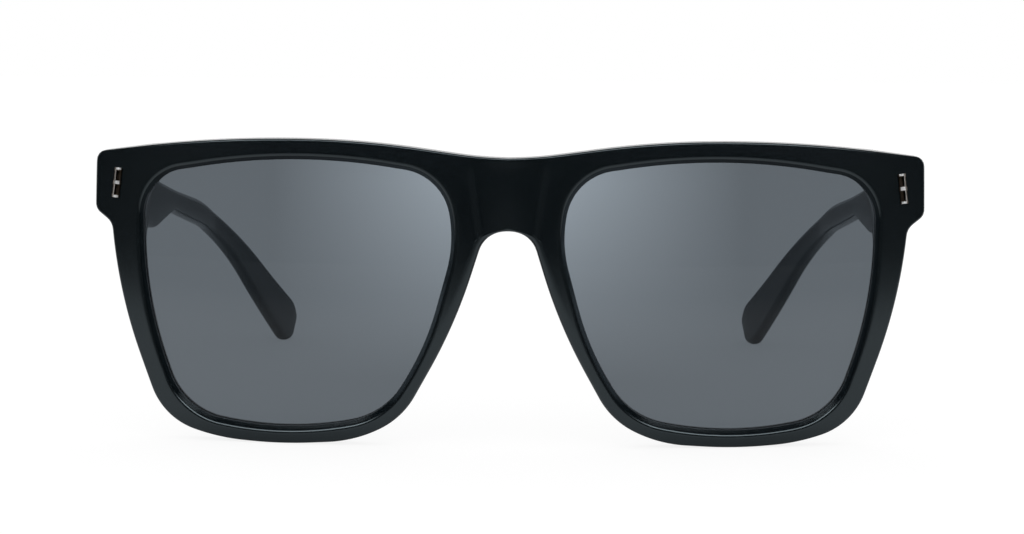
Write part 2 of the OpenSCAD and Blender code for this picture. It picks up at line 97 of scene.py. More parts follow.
# Outlines of the opening and of the front, clockwise from the front, as (x, z, radius).
# The fourth value is the place on the opening that faces the corner.
OPENING = [
    (NASAL_X + 1.5, OPENING_TOP - 2.7, 9.8),
    (EYE_X - 0.4, OPENING_TOP + 1.4, 106),
    (TEMPORAL_X + 0.05, OPENING_TOP - 3.35, 8.4),
    (TEMPORAL_X - 0.6, EYE_Z - 2.2, 76),
    (TEMPORAL_X - 7.3, OPENING_LOW + 2.2, 12.3),
    (EYE_X + 1.8, OPENING_LOW - 1.05, 64.8),
    (NASAL_X + 12.1, OPENING_LOW + 2.3, 14.2),
    (NASAL_X + 4.5, EYE_Z - 9.3, 52),
    (NASAL_X - 0.55, EYE_Z + 9.3, 23.4),
]
OUTER = [
    (0, BRIDGE_Z, 0, -0.2),
    (4.9, BRIDGE_Z + 0.15, 66, 0.03),
    (NASAL_X + 15.9, BROW_Z - 0.15, 158, 0.55),
    (TEMPORAL_X - 14.1, BROW_Z + 0.05, 215, 1.5),
    (HALF_WIDTH, BROW_Z - 3.05, 1.8, 1.93),
    (HALF_WIDTH, BROW_Z - 13.4, 2.0, 2.1),
    (HALF_WIDTH - 3.2, BROW_Z - 15.7, 2.8, 2.28),
    (TEMPORAL_X + 4.3, EYE_Z - 0.6, 100, 2.93),
    (TEMPORAL_X - 3.6, OPENING_LOW + 0.7, 12.1, 4.0),
    (TEMPORAL_X - 13.8, 0.6, 38.7, 4.42),
    (EYE_X + 2.8, -0.15, 88, 5.0),
    (NASAL_X + 17.2, 0.7, 24.4, 5.65),
    (NASAL_X + 8.6, 5.0, 15, 6.1),
    (NASAL_X - 0.8, EYE_Z - 5.1, 94, 7.05),
    (NASAL_X - 5.95, ARCH_Z - 0.45, 4.9, 7.9),
    (0.5, ARCH_TOP, 6, 8.02),
    (0, ARCH_TOP, 0, 8.05),
]


class Arc:
    """The arc at one corner of an outline."""

    def __init__(self, centre, radius, half_turn, to_corner, side):
        self.centre = centre
        self.radius = radius
        self.to_corner = to_corner
        self.side = side
        self.length = radius * half_turn
        self.first = self.at(-half_turn)[0]
        self.last = self.at(half_turn)[0]

    def at(self, angle):
        """Point and left normal at an angle from the middle of the arc."""
        c, s = math.cos(self.side * angle), math.sin(self.side * angle)
        x, z = self.to_corner
        v = np.array([x * c - z * s, x * s + z * c])
        return self.centre + v * self.radius, -self.side * v


class Outline:
    """Straight sides joined by arcs. Spans run from the middle of one corner to the next."""

    SIDE_SHARE = 0.98

    def __init__(self, corners, closed):
        self.corners = [np.array(c[:2], float) for c in corners]
        self.radii = [c[2] for c in corners]
        self.closed = closed
        self.count = len(corners)
        self.arcs = [self.arc(k) for k in range(self.count)]

    def is_end(self, k):
        return not self.closed and k % self.count in (0, self.count - 1)

    def side(self, k, step):
        """Direction and length from a corner to the one before or after it."""
        run = self.corners[(k + step) % self.count] - self.corners[k % self.count]
        length = math.hypot(*run)
        return run / length, length

    def half_angle(self, k):
        return math.acos(float(np.dot(self.side(k, -1)[0], self.side(k, 1)[0]))) / 2

    def reach(self, k):
        """How far the arc of a corner reaches along its sides."""
        return 0 if self.is_end(k) else self.radii[k % self.count] / math.tan(self.half_angle(k))

    def arc(self, k):
        """The arc of a corner, made smaller where a side is too short for its two arcs."""
        here = self.corners[k]
        if self.is_end(k):
            return Arc(here, 0, 0, np.array([0.0, 1.0]), -1)
        (back, before), (on, after) = self.side(k, -1), self.side(k, 1)
        own = self.reach(k)
        share = min(
            1,
            self.SIDE_SHARE * before / (own + self.reach(k - 1)),
            self.SIDE_SHARE * after / (own + self.reach(k + 1)),
        )
        radius = self.radii[k] * share
        half = self.half_angle(k)
        inward = (back + on) / math.hypot(*(back + on))
        side = math.copysign(1, -back[0] * on[1] + back[1] * on[0])
        centre = here + inward * radius / math.sin(half)
        return Arc(centre, radius, math.pi / 2 - half, -inward, side)

    def length(self, k):
        a, b = self.arcs[k % self.count], self.arcs[(k + 1) % self.count]
        return a.length + math.hypot(*(b.first - a.last)) + b.length

    def span(self, k, share):
        """Point and left normal at a share of the way from a corner to the next."""
        a, b = self.arcs[k % self.count], self.arcs[(k + 1) % self.count]
        run = b.first - a.last
        straight = math.hypot(*run)
        s = share * (a.length + straight + b.length)
        if s < a.length:
            return a.at(s / a.radius)
        if s < a.length + straight or b.radius == 0:
            d = run / straight
            return a.last + d * (s - a.length), np.array([-d[1], d[0]])
        return b.at((s - a.length - straight - b.length) / b.radius)

    def place(self, value):
        """Point and left normal at a corner number with a fraction."""
        value = value + self.count if value < 0 else value
        return self.span(int(value), value - int(value))


opening = Outline(OPENING, True)
outer = Outline(OUTER, False)


def smooth(t):
    """An eased step from 0 to 1."""
    u = min(1, max(0, t))
    return u * u * (3 - 2 * u)


def shifted(point_normal, distance):
    return point_normal[0] + point_normal[1] * distance


# Surfaces of the lenses and of the front

# A shallow flat cut across the bridge: its depth, slope and upper fade, and its two ends
CUT_DEPTH = 0.28
CUT_SLOPE = 1.3
CUT_FADE = 4
CUT_HIGH_Z = 48.7
CUT_LOW_Z = 37.9
CUT_HIGH_X = 6.7
CUT_LOW_X = 5.05

# The flat hinge seat: a place on it, where the back thickens towards it, where it may cut the
# back, and how far its edge is eased
SEAT_X = HALF_WIDTH - 4
SEAT_BLEND = 4.5
SEAT_BLEND_X = TEMPORAL_X - 4
SEAT_BLEND_Z = BROW_Z - 19
SEAT_FROM_X = TEMPORAL_X - 6
SEAT_FROM_Z = BROW_Z - 26
SEAT_EASE = 0.35


def lens_y(x, z, depth):
    """The sphere of an eye, at a depth behind the surface of the front."""
    square = (BASE_RADIUS - depth) ** 2 - (x - SPHERE_X) ** 2 - (z - EYE_Z) ** 2
    return SPHERE_Y - math.sqrt(square)


def blended(x):
    """The distance from the mirror plane, rounded off across the bridge."""
    return abs(x) if abs(x) > BRIDGE_BLEND else (x * x + BRIDGE_BLEND**2) / (2 * BRIDGE_BLEND)


def surface_y(x, z, depth):
    """The spheres of both eyes, blended across the bridge."""
    return lens_y(blended(x), z, depth)


SEAT_Y = surface_y(SEAT_X, HINGE_Z, 0) + ENDPIECE_THICKNESS


def bridge_cut(x, z):
    """How deep the flat cut goes."""
    f = (z - CUT_LOW_Z) / (CUT_HIGH_Z - CUT_LOW_Z)
    edge = CUT_LOW_X + (CUT_HIGH_X - CUT_LOW_X) * f
    upper_fade = 1 - smooth((z - CUT_HIGH_Z) / CUT_FADE)
    return CUT_DEPTH * smooth((edge - abs(x)) / CUT_SLOPE + 0.5) * upper_fade


def back_y(x, z):
    """The back of the front, which thickens into the endpieces."""
    sideways = smooth((abs(x) - SEAT_BLEND_X) / SEAT_BLEND)
    blend = sideways * smooth((z - SEAT_BLEND_Z) / SEAT_BLEND)
    return (1 - blend) * surface_y(x, z, RIM_THICKNESS) + blend * (SEAT_Y + SEAT_STOCK)


def soft_min(value, limit, reach):
    """The smaller of two numbers, eased where they are closer than a reach."""
    share = min(1, max(0, 0.5 + 0.5 * (value - limit) / reach))
    return value * (1 - share) + limit * share - reach * share * (1 - share)


def sunk(p, depth):
    """A point of the front, at a depth behind its surface."""
    return (p[0], surface_y(p[0], p[1], depth) + bridge_cut(*p), p[1])


def backed(p, depth):
    """A point of the back, at a depth in front of its surface, cut flat at the hinge seat."""
    y = back_y(*p) - depth
    if p[0] > SEAT_FROM_X and p[1] > SEAT_FROM_Z:
        y = soft_min(y, SEAT_Y, SEAT_EASE)
    return (p[0], y, p[1])


# The rim, as sections that run once round each lens

ROW_STEP = 0.7
SEAM_ROWS = 18
FACE_STEPS = 16
BACK_STEPS = 18
ROUND_STEPS = 6
RIDGE_STEPS = 5
WALL_STEPS = 3

# The middle of the broken edge at the back of the opening, as a share of its width
BREAK_MIDDLE = 0.3

# The lens groove, as offsets from the opening and depths
GROOVE = (
    (0, GROOVE_BACK),
    (GROOVE_DEPTH, GROOVE_BACK),
    (GROOVE_DEPTH, GROOVE_FRONT),
    (0, GROOVE_FRONT),
)

# Rounding of the front edge: places on the outer path, and the width and depth there
ROUND_PLACES = (11.6, 12.6, 13.5, 14.0, 14.6)
ROUND_WIDTHS = (EDGE_ROUND, 1.8, 1.8, 1.15, 0.55)
ROUND_DEPTHS = (EDGE_ROUND, 0.8, 0.8, 0.75, 0.55)

# In metres: points this close are joined, and edges this short are taken out
SAME_POINT = 1e-7
NO_LENGTH = 1e-8


def turns(steps, last):
    """Angles in even steps from 0 to a last one, given in degrees."""
    return [math.radians(last) * i / steps for i in range(steps + 1)]


def between(start, end, steps):
    """Points in even steps from a start, which is left out, to an end."""
    return [start + (end - start) * i / steps for i in range(1, steps + 1)]


def ridge_profile():
    """Offsets from the opening and depths, from the lip up the bevel and over the ridge."""
    drop = BEVEL_DEPTH - RIDGE_ROUND
    slope = math.atan(drop / BEVEL_WIDTH)
    wall_turn = slope + math.asin(RIDGE_ROUND / math.hypot(BEVEL_WIDTH, drop))
    round_over = [
        (BEVEL_WIDTH - RIDGE_ROUND * math.sin(t), RIDGE_ROUND * (1 - math.cos(t)))
        for t in reversed(turns(RIDGE_STEPS, math.degrees(wall_turn)))
    ]
    first = round_over[0]
    wall = [
        (first[0] * i / WALL_STEPS, BEVEL_DEPTH + (first[1] - BEVEL_DEPTH) * i / WALL_STEPS)
        for i in range(WALL_STEPS)
    ]
    return wall + round_over


RIDGE = ridge_profile()


def front_round(k):
    """Width and depth of the front edge's rounding at a place on the outer path."""
    return [float(np.interp(k, ROUND_PLACES, sizes)) for sizes in (ROUND_WIDTHS, ROUND_DEPTHS)]


def rim_section(a, b, k):
    """A section of the rim from an opening point to an outer point and back.

    Its two numbers are the first and last point of the outer wall.
    """
    width, depth_over = front_round(k)
    front_in, front_out = shifted(a, BEVEL_WIDTH), shifted(b, -width)
    back_in, back_out = shifted(a, BACK_BREAK), shifted(b, -EDGE_ROUND)
    section = [sunk(shifted(a, offset), depth) for offset, depth in RIDGE]
    section += [sunk(p, 0) for p in between(front_in, front_out, FACE_STEPS)]
    first = len(section) - 1
    over = [(math.sin(t) - 1, 1 - math.cos(t)) for t in turns(ROUND_STEPS, 90)[1:]]
    section += [sunk(shifted(b, width * x), depth_over * y) for x, y in over]
    section += [backed(shifted(b, EDGE_ROUND * x), EDGE_ROUND * y) for x, y in reversed(over)]
    section += [backed(back_out, 0)]
    last = len(section) - 1
    section += [backed(p, 0) for p in between(back_out, back_in, BACK_STEPS)]
    section += [backed(shifted(a, BACK_BREAK * BREAK_MIDDLE), BACK_BREAK * BREAK_MIDDLE)]
    section += [backed(shifted(a, 0), BACK_BREAK)]
    section += [sunk(shifted(a, offset), depth) for offset, depth in GROOVE]
    return section, first, last


def rim_rows():
    """Rows round a lens, and the number of the first row on the mirror plane.

    A row is an opening point, an outer point and the place on the outer path.
    """
    found = []
    for k in range(outer.count - 1):
        steps = max(2, math.ceil(outer.length(k) / ROW_STEP))
        for i in range(steps):
            f = i / steps
            place = OUTER[k][3] * (1 - f) + OUTER[k + 1][3] * f
            found.append((opening.place(place), outer.span(k, f), k + f))
    found[0] = (found[0][0], (np.array([0, BRIDGE_Z]), np.array([0, 1])), 0)
    seam = len(found)
    start, end = OUTER[-1][3], OUTER[0][3] + opening.count
    low, high = ARCH_TOP + ROUND_WIDTHS[-1], BRIDGE_Z - EDGE_ROUND
    for i in range(SEAM_ROWS):
        f = i / SEAM_ROWS
        facing = opening.place((start + (end - start) * f) % opening.count)
        if i == 0:
            found.append((facing, (np.array([0, ARCH_TOP]), np.array([0, -1])), outer.count - 1))
        else:
            z = low + (high - low) * f
            found.append((facing, (np.array([0, z]), np.array([0, 0])), 0))
    return found, seam


def to_mesh(name, points, faces, sharp=32):
    """A mesh object from points in millimetres, with edges sharper than an angle kept hard."""
    mesh = bpy.data.meshes.new(name)
    mesh.from_pydata([(x * MM, (y - CENTRE_Y) * MM, z * MM) for x, y, z in points], [], faces)
    bm = bmesh.new()
    bm.from_mesh(mesh)
    bmesh.ops.remove_doubles(bm, verts=bm.verts, dist=SAME_POINT)
    bmesh.ops.dissolve_degenerate(bm, edges=bm.edges, dist=NO_LENGTH)
    bmesh.ops.recalc_face_normals(bm, faces=bm.faces)
    for face in bm.faces:
        face.smooth = True
    for e in bm.edges:
        e.smooth = len(e.link_faces) == 2 and e.calc_face_angle(0) < math.radians(sharp)
    bm.to_mesh(mesh)
    bm.free()
    piece = bpy.data.objects.new(name, mesh)
    bpy.context.scene.collection.objects.link(piece)
    return piece


def both_sides(points, faces):
    """The points and faces with their mirror images."""
    n = len(points)
    mirrored_points = [(-x, y, z) for x, y, z in points]
    mirrored_faces = [[i + n for i in reversed(f)] for f in faces]
    return points + mirrored_points, faces + mirrored_faces


def build_front():
    found, seam = rim_rows()
    points, faces = [], []
    for a, b, k in found:
        section, first, last = rim_section(a, b, k)
        points += section
    columns = len(section)
    for r in range(len(found)):
        q = (r + 1) % len(found)
        for c in range(columns):
            if r >= seam and first <= c < last:
                continue
            d = (c + 1) % columns
            faces.append([r * columns + c, q * columns + c, q * columns + d, r * columns + d])
    return to_mesh("acetate_front", *both_sides(points, faces))


# Lenses, as rings that close in from the edge and lie closer together there

LENS_STEP = 0.8
LENS_RINGS = 20
RING_POWER = 1.5


def lens_outline():
    """Points and normals round the opening."""
    found = []
    for k in range(opening.count):
        steps = math.ceil(opening.length(k) / LENS_STEP)
        found += [opening.span(k, i / steps) for i in range(steps)]
    return found


def build_lens(name, side):
    outline = lens_outline()
    centre = np.array([EYE_X, EYE_Z])
    front, back = LENS_FRONT, LENS_FRONT + LENS_THICKNESS
    tongue_front, tongue_back = GROOVE_FRONT + PLAY, GROOVE_BACK - PLAY
    tongue = GROOVE_DEPTH - PLAY
    shares = [1 - (i / LENS_RINGS) ** RING_POWER for i in range(LENS_RINGS)]
    rings = [(share, -PLAY, front) for share in reversed(shares)]
    rings += [(1, -PLAY, tongue_front), (1, tongue, tongue_front)]
    rings += [(1, tongue, tongue_back), (1, -PLAY, tongue_back)]
    rings += [(share, -PLAY, back) for share in shares]
    points = []
    for share, offset, depth in rings:
        for p in outline:
            x, z = centre + (shifted(p, offset) - centre) * share
            points.append((side * x, lens_y(x, z, depth), z))
    n = len(outline)
    faces = [
        [r * n + i, r * n + (i + 1) % n, (r + 1) * n + (i + 1) % n, (r + 1) * n + i]
        for r in range(len(rings) - 1)
        for i in range(n)
    ]
    for ring, depth in ((0, front), (len(rings) - 1, back)):
        points.append((side * EYE_X, lens_y(EYE_X, EYE_Z, depth), EYE_Z))
        faces += [[len(points) - 1, ring * n + i, ring * n + (i + 1) % n] for i in range(n)]
    return to_mesh(name, points, faces)


# Temples. Their edges are outlines in depth and height, as (y, z, radius).

BUTT_Y = SEAT_Y + BUTT_GAP
TIP_Y = SEAT_Y + TEMPLE_REACH
BEND_Y = SEAT_Y + BEND_REACH
BUTT_X = HALF_WIDTH - 0.4 - TEMPLE_THICKNESS
SHAFT_Z = BROW_Z - 4
UPPER_TIP = (TIP_Y + 0.9, 6.9, 6.5)
LOWER_TIP = (TIP_Y - 3.7, -2.1, 3.4)
TIP_MIDDLE = ((UPPER_TIP[0] + LOWER_TIP[0]) / 2, (UPPER_TIP[1] + LOWER_TIP[1]) / 2, 0)
UPPER_EDGE = [
    (BUTT_Y, SHAFT_Z, 0),
    (BEND_Y - 47.2, SHAFT_Z - 7.5, 150),
    (BEND_Y - 32.7, SHAFT_Z - 10.25, 150),
    (BEND_Y + 8.9, SHAFT_Z - 17, 111),
    UPPER_TIP,
    TIP_MIDDLE,
]
LOWER_EDGE = [
    (BUTT_Y, SHAFT_Z - 10.5, 0),
    (BEND_Y - 53.6, SHAFT_Z - 16.1, 13.6),
    (BEND_Y - 36.1, SHAFT_Z - 14.1, 14),
    (BEND_Y + 8.7, SHAFT_Z - 22.8, 65),
    LOWER_TIP,
    TIP_MIDDLE,
]
TIP_CORNER = 4
LEAN_POWER = 1.5

# Sections: their spacing, those that round the butt and the tip, and the points of one
TEMPLE_STEP = 1.2
BUTT_SHARES = (0.15, 0.4, 0.7, 1)
TIP_STEPS = 16
TEMPLE_TURNS = 5
FLAT_STEPS = 4

# Limits of a section's rounding: its share of a side, its least radius, and how much less than
# TEMPLE_EDGE a section is pulled in
ROUNDING_SHARE = 0.42
LEAST_ROUNDING = 0.02
INSET_REST = 0.05


def inner_x(y):
    """The inner face of the temple, which leans in towards the tip."""
    t = max(0, (y - BUTT_Y) / (BEND_Y - BUTT_Y))
    u = (y - BEND_Y) / (TIP_Y - BEND_Y)
    if u < 0:
        return BUTT_X - SHAFT_LEAN * t**LEAN_POWER
    return BUTT_X - SHAFT_LEAN * (1 + LEAN_POWER * (t - 1)) - TIP_LEAN * u**LEAN_POWER


def thickness_at(y):
    thinned = smooth((y - BUTT_Y) / THINNED_LENGTH)
    return TEMPLE_THICKNESS + (SHAFT_THICKNESS - TEMPLE_THICKNESS) * thinned


def rounding_at(y):
    return BUTT_ROUNDING + (TEMPLE_EDGE - BUTT_ROUNDING) * smooth((y - BUTT_Y) / THINNED_LENGTH)


def temple_point(p, w):
    """The point at a distance outwards from the inner face, square to it."""
    angle = math.atan(inner_x(p[0] - 0.5) - inner_x(p[0] + 0.5))
    return (inner_x(p[0]) + w * math.cos(angle), p[0] + w * math.sin(angle), p[1])


def inset_at(distance, radius):
    """How far a surface pulls in at a distance from an end that is rounded by a radius."""
    return radius - math.sqrt(radius**2 - (radius - distance) ** 2) if distance < radius else 0


def temple_section(top, low, inset):
    """The loop of points round a section between the two edges, pulled in by an inset."""
    middle = (top[0] + low[0]) / 2
    height = math.hypot(*(top - low))
    up = (top - low) / height
    height -= 2 * inset
    width = thickness_at(middle) - 2 * inset
    most = min(rounding_at(middle) - inset, height * ROUNDING_SHARE, width * ROUNDING_SHARE)
    r = max(LEAST_ROUNDING, most)
    loop = []
    for q in range(4):
        for i in range(TEMPLE_TURNS + 1):
            angle = math.radians(q * 90 + 90 * i / TEMPLE_TURNS)
            w = (width - r if q in (0, 3) else r) + r * math.cos(angle)
            v = (height - r if q < 2 else r) + r * math.sin(angle)
            loop.append((w, v))
        if q in (0, 2):
            start, end, v = (width - r, r, height) if q == 0 else (r, width - r, 0)
            for i in range(1, FLAT_STEPS):
                f = i / FLAT_STEPS
                loop.append((start * (1 - f) + end * f, v))
    return [temple_point(low + up * (v + inset), w + inset) for w, v in loop]


def skin(rows_of_points):
    """Points and faces of a skin over rows, with a cap at each end."""
    size = len(rows_of_points[0])
    points = [p for row in rows_of_points for p in row]
    last = (len(rows_of_points) - 1) * size
    faces = [list(range(size - 1, -1, -1)), [last + i for i in range(size)]]
    for r in range(len(rows_of_points) - 1):
        for i in range(size):
            j = (i + 1) % size
            faces.append([r * size + i, r * size + j, (r + 1) * size + j, (r + 1) * size + i])
    return points, faces


def build_temple(name, side):
    upper, lower = Outline(UPPER_EDGE, False), Outline(LOWER_EDGE, False)
    marks = []
    for k in range(TIP_CORNER):
        steps = math.ceil(upper.length(k) / TEMPLE_STEP)
        marks += [(k, i / steps) for i in range(steps)]
    last_share = upper.arcs[TIP_CORNER].length / upper.length(TIP_CORNER)
    marks += [(TIP_CORNER, last_share * i / TIP_STEPS) for i in range(TIP_STEPS + 1)]
    butt_marks = [(0, BUTT_EDGE * f / upper.length(0)) for f in BUTT_SHARES]
    marks = marks[:1] + butt_marks + marks[1:]
    pairs = [(upper.span(k, f)[0], lower.span(k, f)[0]) for k, f in marks]
    end = (pairs[-1][0] + pairs[-1][1]) / 2
    along = pairs[-1][0] - pairs[-1][1]
    outward = np.array([along[1], -along[0]]) / math.hypot(*along)
    found = []
    for top, low in pairs:
        middle = (top + low) / 2
        from_tip = abs(float(np.dot(end - middle, outward)))
        inset = inset_at(from_tip, TEMPLE_EDGE) + inset_at(middle[0] - BUTT_Y, BUTT_EDGE)
        section = temple_section(top, low, min(inset, TEMPLE_EDGE - INSET_REST))
        found.append([(side * x, y, z) for x, y, z in section])
    return to_mesh(name, *skin(found), sharp=40)


# Nose pads

PAD_ROWS = 40
PAD_WIDTH = 2.4
PAD_HEIGHT = 4.2
PAD_LENGTH = 18
PAD_INSET = 0.35
PAD_GLUE = 0.04
PAD_CORNER = 13
PAD_STEPS = 16

# Form of the crown: its lean to the nose, its bulge and its fullness
CROWN_LEAN = 0.08
CROWN_BULGE = 0.06
CROWN_POWER = 0.85

# Form of the two ends: where the half turn of the swell is cut off, in degrees, and its fullness
END_TURN = 8
END_POWER = 0.55


def pad_profile(f):
    """Share of the width and of the height round the crown of a pad, from its nose side."""
    angle = math.pi * (1 - f)
    rise = math.sin(angle)
    across = 0.5 + 0.5 * math.cos(angle) * (1 + CROWN_BULGE * rise) - CROWN_LEAN * rise
    return across, rise**CROWN_POWER


def nose_point(distance):
    """A point of the outer path at a distance up the nose from the corner behind the pad."""
    k = PAD_CORNER - 1 if distance < 0 else PAD_CORNER
    return outer.span(k, distance / outer.length(k) + (1 if distance < 0 else 0))


def build_pad(name, side):
    found = []
    for i in range(PAD_ROWS):
        f = i / (PAD_ROWS - 1)
        swell = math.sin(math.radians(END_TURN + (180 - 2 * END_TURN) * f)) ** END_POWER
        edge = nose_point(PAD_LENGTH * (0.5 - f))
        row = []
        for j in range(PAD_STEPS + 1):
            u, h = pad_profile(j / PAD_STEPS)
            inset = PAD_INSET + PAD_WIDTH / 2 + PAD_WIDTH * swell * (u - 0.5)
            x, z = shifted(edge, -inset)
            y = surface_y(x, z, RIM_THICKNESS) + PAD_GLUE + h * PAD_HEIGHT * swell
            row.append((side * x, y, z))
        found.append(row)
    return to_mesh(name, *skin(found), sharp=50)


# Helpers for materials

# The part of a noise that is spread over a range of numbers, and over two tones
NOISE_RANGE = (0.3, 0.7)
TONE_RANGE = (0.35, 0.7)


def principled(name, **values):
    """A material whose plain values sit on the shader's own sockets."""
    material = bpy.data.materials.new(name)
    material.use_nodes = True
    shader = material.node_tree.nodes["Principled BSDF"]
    for key, value in values.items():
        shader.inputs[key.replace("_", " ")].default_value = value
    return material, material.node_tree, shader


def object_place(tree):
    """A point's place in the model, because each piece sits at the origin."""
    return tree.nodes.new("ShaderNodeTexCoord").outputs["Object"]


def axes_of(tree, place):
    """The X, Y and Z of a place."""
    split = tree.nodes.new("ShaderNodeSeparateXYZ")
    tree.links.new(place, split.inputs[0])
    return split.outputs


def noise(tree, scale, detail, stretch=(1, 1, 1)):
    """A noise texture in object space, with its features scaled along each axis."""
    mapping = tree.nodes.new("ShaderNodeMapping")
    mapping.inputs["Scale"].default_value = stretch
    texture = tree.nodes.new("ShaderNodeTexNoise")
    texture.inputs["Scale"].default_value = scale
    texture.inputs["Detail"].default_value = detail
    tree.links.new(object_place(tree), mapping.inputs["Vector"])
    tree.links.new(mapping.outputs["Vector"], texture.inputs["Vector"])
    return texture.outputs["Fac"]


def node_math(tree, operation, first, second):
    """A math node of two inputs, each an output or a number."""
    node = tree.nodes.new("ShaderNodeMath")
    node.operation = operation
    for i, value in enumerate((first, second)):
        if isinstance(value, (int, float)):
            node.inputs[i].default_value = value
        else:
            tree.links.new(value, node.inputs[i])
    return node.outputs[0]


def magnitude(tree, value):
    """A number without its sign."""
    node = tree.nodes.new("ShaderNodeMath")
    node.operation = "ABSOLUTE"
    tree.links.new(value, node.inputs[0])
    return node.outputs[0]


def length_along(tree, vector, axis):
    """How far a vector reaches along an axis."""
    node = tree.nodes.new("ShaderNodeVectorMath")
    node.operation = "DOT_PRODUCT"
    node.inputs[1].default_value = axis
    tree.links.new(vector, node.inputs[0])
    return node.outputs["Value"]


def map_range(tree, value, start, end, low=0, high=1, eased=False):
    """From low to high as a value goes from start to end, and level beyond them."""
    node = tree.nodes.new("ShaderNodeMapRange")
    if eased:
        node.interpolation_type = "SMOOTHSTEP"
    limits = {"From Min": start, "From Max": end, "To Min": low, "To Max": high}
    for key, limit in limits.items():
        node.inputs[key].default_value = limit
    tree.links.new(value, node.inputs["Value"])
    return node.outputs["Result"]


def ranged(tree, value, low, high):
    """A noise as a number from low to high."""
    return map_range(tree, value, *NOISE_RANGE, low, high)


def ramp(tree, value, start, end):
    """From 0 to 1 as a length in millimetres goes from start to end."""
    return map_range(tree, value, start * MM, end * MM)


def two_tone(tree, value, dark, light):
    """A noise as a colour between two tones."""
    node = tree.nodes.new("ShaderNodeValToRGB")
    for element, position, tone in zip(node.color_ramp.elements, TONE_RANGE, (dark, light)):
        element.position = position
        element.color = (*tone, 1)
    tree.links.new(value, node.inputs["Fac"])
    return node.outputs["Color"]


def laid_over(tree, under, share, colour):
    """A colour laid over another one by a share."""
    mix = tree.nodes.new("ShaderNodeMix")
    mix.data_type = "RGBA"
    colours = [socket for socket in mix.inputs if socket.type == "RGBA"]
    colours[1].default_value = colour
    tree.links.new(under, colours[0])
    tree.links.new(share, mix.inputs["Factor"])
    return [socket for socket in mix.outputs if socket.type == "RGBA"][0]


def bumped(tree, shader, value, strength, distance):
    bump = tree.nodes.new("ShaderNodeBump")
    bump.inputs["Strength"].default_value = strength
    bump.inputs["Distance"].default_value = distance
    tree.links.new(value, bump.inputs["Height"])
    tree.links.new(bump.outputs["Normal"], shader.inputs["Normal"])


# Polished acetate, with faint clouds and slight wear: its two tones, and how far the wear moves
# the roughness

ACETATE_TONES = ((0.0032, 0.0056, 0.0072), (0.0042, 0.0068, 0.0086))
ACETATE_WEAR = (-0.03, 0.05)


def acetate(name, roughness):
    material, tree, shader = principled(name, IOR=1.48, Specular_Tint=(0.78, 0.93, 1, 1))
    clouds = noise(tree, scale=420, detail=4)
    tree.links.new(two_tone(tree, clouds, *ACETATE_TONES), shader.inputs["Base Color"])
    wear = noise(tree, scale=1500, detail=5, stretch=(1, 1, 1.6))
    limits = [roughness + change for change in ACETATE_WEAR]
    tree.links.new(ranged(tree, wear, *limits), shader.inputs["Roughness"])
    grain = noise(tree, scale=5200, detail=2)
    bumped(tree, shader, grain, strength=0.05, distance=0.00002)
    return material


# Lens tint: its density at the outer and lower side, and a thinner density at the upper nose side
# that is a painted reflection; the colour of the light that passes, and from where to where the
# painted reflection lightens the lens, across and upwards

LENS_DARK = 0.618
LENS_PAINTED_REFLECTION = 0.4
LENS_TINT = (0.868, 0.93, 0.985)
REFLECTION_SIDE = (42, 11)
REFLECTION_HEIGHT = (12, 47)
LENS_TONES = ((0.006, 0.009, 0.012), (0.008, 0.011, 0.014))
LENS_ROUGHNESS = (0.015, 0.03)


def lens_tint_and_painted_reflection(name):
    """A grey tint that lightens towards the upper nose side, as a painted reflection."""
    material, tree, shader = principled(name, Roughness=0.02, IOR=1.3)
    haze = noise(tree, scale=40, detail=2)
    tree.links.new(two_tone(tree, haze, *LENS_TONES), shader.inputs["Base Color"])
    smudges = noise(tree, scale=160, detail=3)
    tree.links.new(ranged(tree, smudges, *LENS_ROUGHNESS), shader.inputs["Roughness"])
    place = axes_of(tree, object_place(tree))
    # Painted reflection: the tint thins towards the upper nose side, standing in for a reflection
    # of light there.
    sideways = ramp(tree, magnitude(tree, place["X"]), *REFLECTION_SIDE)
    share = node_math(tree, "MULTIPLY", sideways, ramp(tree, place["Z"], *REFLECTION_HEIGHT))
    tint_and_painted_reflection = map_range(tree, share, 0, 1, LENS_DARK, LENS_PAINTED_REFLECTION)
    through = tree.nodes.new("ShaderNodeBsdfTransparent")
    through.inputs["Color"].default_value = (*LENS_TINT, 1)
    mix = tree.nodes.new("ShaderNodeMixShader")
    tree.links.new(tint_and_painted_reflection, mix.inputs["Fac"])
    tree.links.new(through.outputs[0], mix.inputs[1])
    tree.links.new(shader.outputs[0], mix.inputs[2])
    tree.links.new(mix.outputs[0], tree.nodes["Material Output"].inputs["Surface"])
    return material


# Brushed metals: how far the streaks move the roughness

METAL_WEAR = (-0.05, 0.08)


def metal(name, dark, light, roughness, stretch):
    material, tree, shader = principled(name, Metallic=1.0)
    streaks = noise(tree, scale=5000, detail=4, stretch=stretch)
    tree.links.new(two_tone(tree, streaks, dark, light), shader.inputs["Base Color"])
    limits = [roughness + change for change in METAL_WEAR]
    tree.links.new(ranged(tree, streaks, *limits), shader.inputs["Roughness"])
    bumped(tree, shader, streaks, strength=0.06, distance=0.00001)
    return material


# Bar rivet: its place on the front, its sizes, and the painted shade on its face

RIVET_X = HALF_WIDTH - 4.2
RIVET_Z = BROW_Z - 8.55
BAR_LENGTH = 5.4
BAR_LEAN = 3
RIVET_COLLAR = 0.7
RIVET_CAP = 0.6
WINDOW_LENGTH = (BAR_LENGTH - RIVET_COLLAR) / 2 - RIVET_CAP
WINDOW_MIDDLE = (RIVET_COLLAR + WINDOW_LENGTH) / 2
WINDOW_SIDE = 0.1
WINDOW_BLUR = 0.06
# Painted shade: how far the windows' shade laps onto the caps, and the shade on the outer side and
# at the nose-side edge of the bar
WINDOW_LAP = 0.16
WINDOW_SHADE_COLOUR = (0.05, 0.038, 0.028, 1)
SIDE_SHADE_START = (0.12, 0.24)
SIDE_SHADE_COLOUR = (0.17, 0.155, 0.14, 1)
NOSE_EDGE_SHADE = (-0.6, -0.7)


